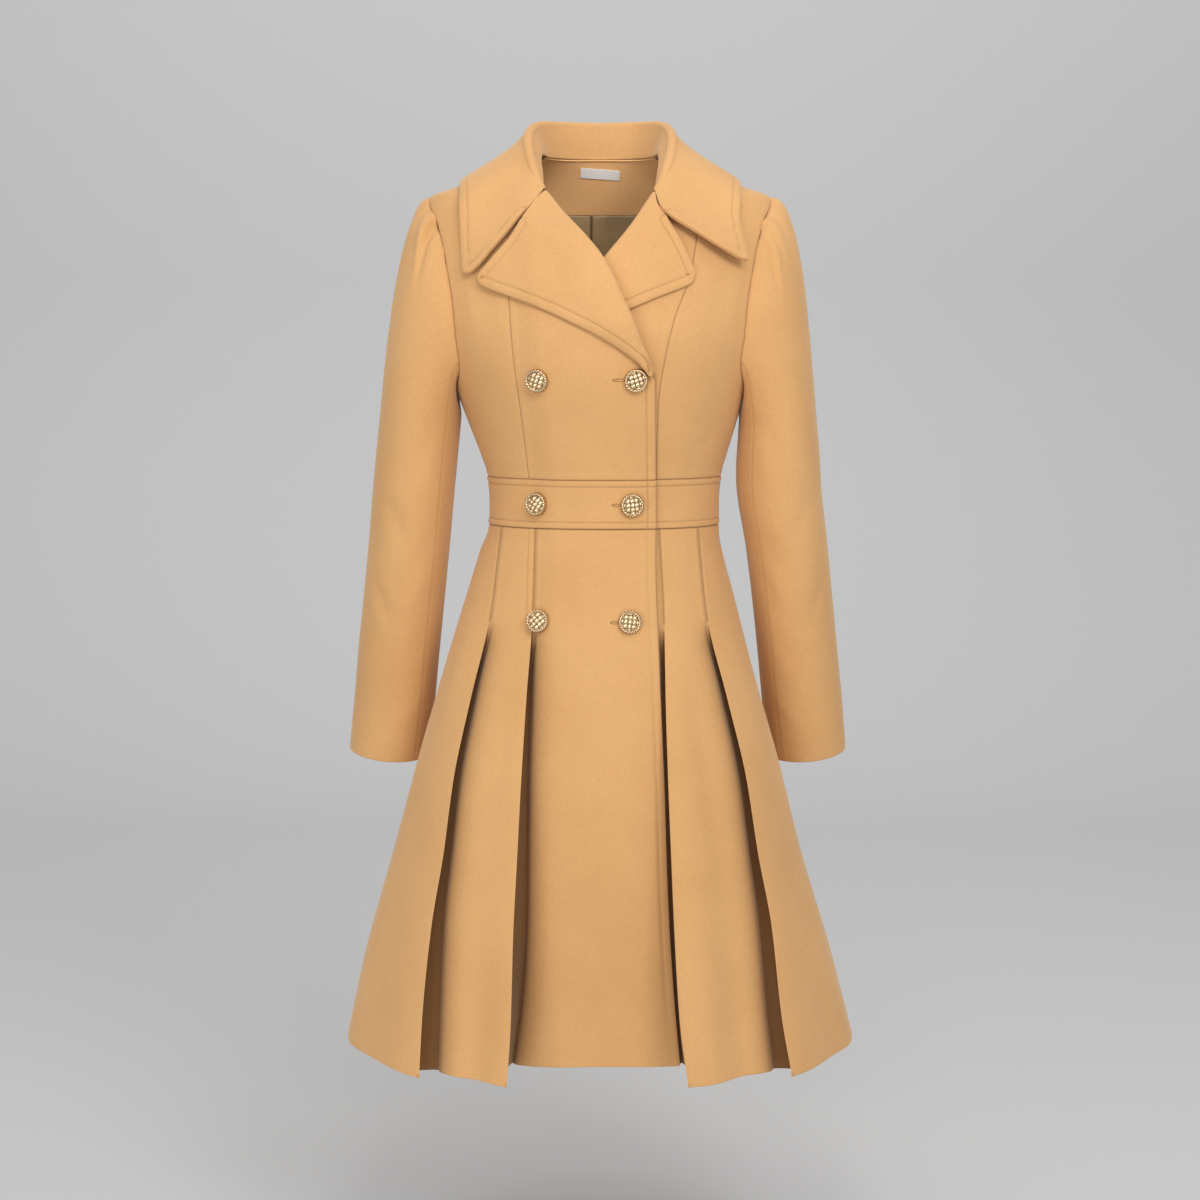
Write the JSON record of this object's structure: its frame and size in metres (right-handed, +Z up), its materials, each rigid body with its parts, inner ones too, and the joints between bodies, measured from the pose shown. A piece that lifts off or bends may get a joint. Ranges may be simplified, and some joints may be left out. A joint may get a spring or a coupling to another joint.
{
  "type": "long coat",
  "caption": "Camel wool double-breasted swing coat, filled out and hollow, with wide lapels, waistband, puffed sleeve heads and a pleated, flared skirt.",
  "frame": {"origin": "centre of the base of the neck, at the height of the shoulder seams' upper ends, where the wearer's neck and shoulders hold the coat", "axes": "+Z up along the body, -Y the way the wearer faces, +X the wearer's left"},
  "size_m": [0.5407, 0.4292, 0.9613],
  "materials": {
    "coat_wool": "matte felted camel wool",
    "lining_satin": "olive tan satin lining",
    "label_tape": "bare white woven tape",
    "gilt_button": "gilt metal, domed and worked"
  },
  "bodies": {
    "root": {"front_right_centre": "coat_wool", "front_right_side": "coat_wool", "front_left_centre": "coat_wool", "front_left_side": "coat_wool", "back_centre": "coat_wool", "back_side_left": "coat_wool", "back_side_right": "coat_wool", "back_neck_facing": "coat_wool", "back_lining": "lining_satin", "label": "label_tape", "waistband_right": "coat_wool", "waistband_left": "coat_wool", "waistband_back": "coat_wool", "skirt_right_side": "coat_wool", "skirt_right_middle": "coat_wool", "skirt_right_centre": "coat_wool", "skirt_left_side": "coat_wool", "skirt_left_middle": "coat_wool", "skirt_left_centre": "coat_wool", "skirt_back_left": "coat_wool", "skirt_back_right": "coat_wool", "sleeve_left_under": "coat_wool", "sleeve_left_upper": "coat_wool", "sleeve_right_under": "coat_wool", "sleeve_right_upper": "coat_wool", "lapel_right": "coat_wool", "lapel_left": "coat_wool", "collar": "coat_wool", "button_1_inner": "gilt_button", "button_1_outer": "gilt_button", "button_2_inner": "gilt_button", "button_2_outer": "gilt_button", "button_3_inner": "gilt_button", "button_3_outer": "gilt_button"}
  },
  "joints": []
}
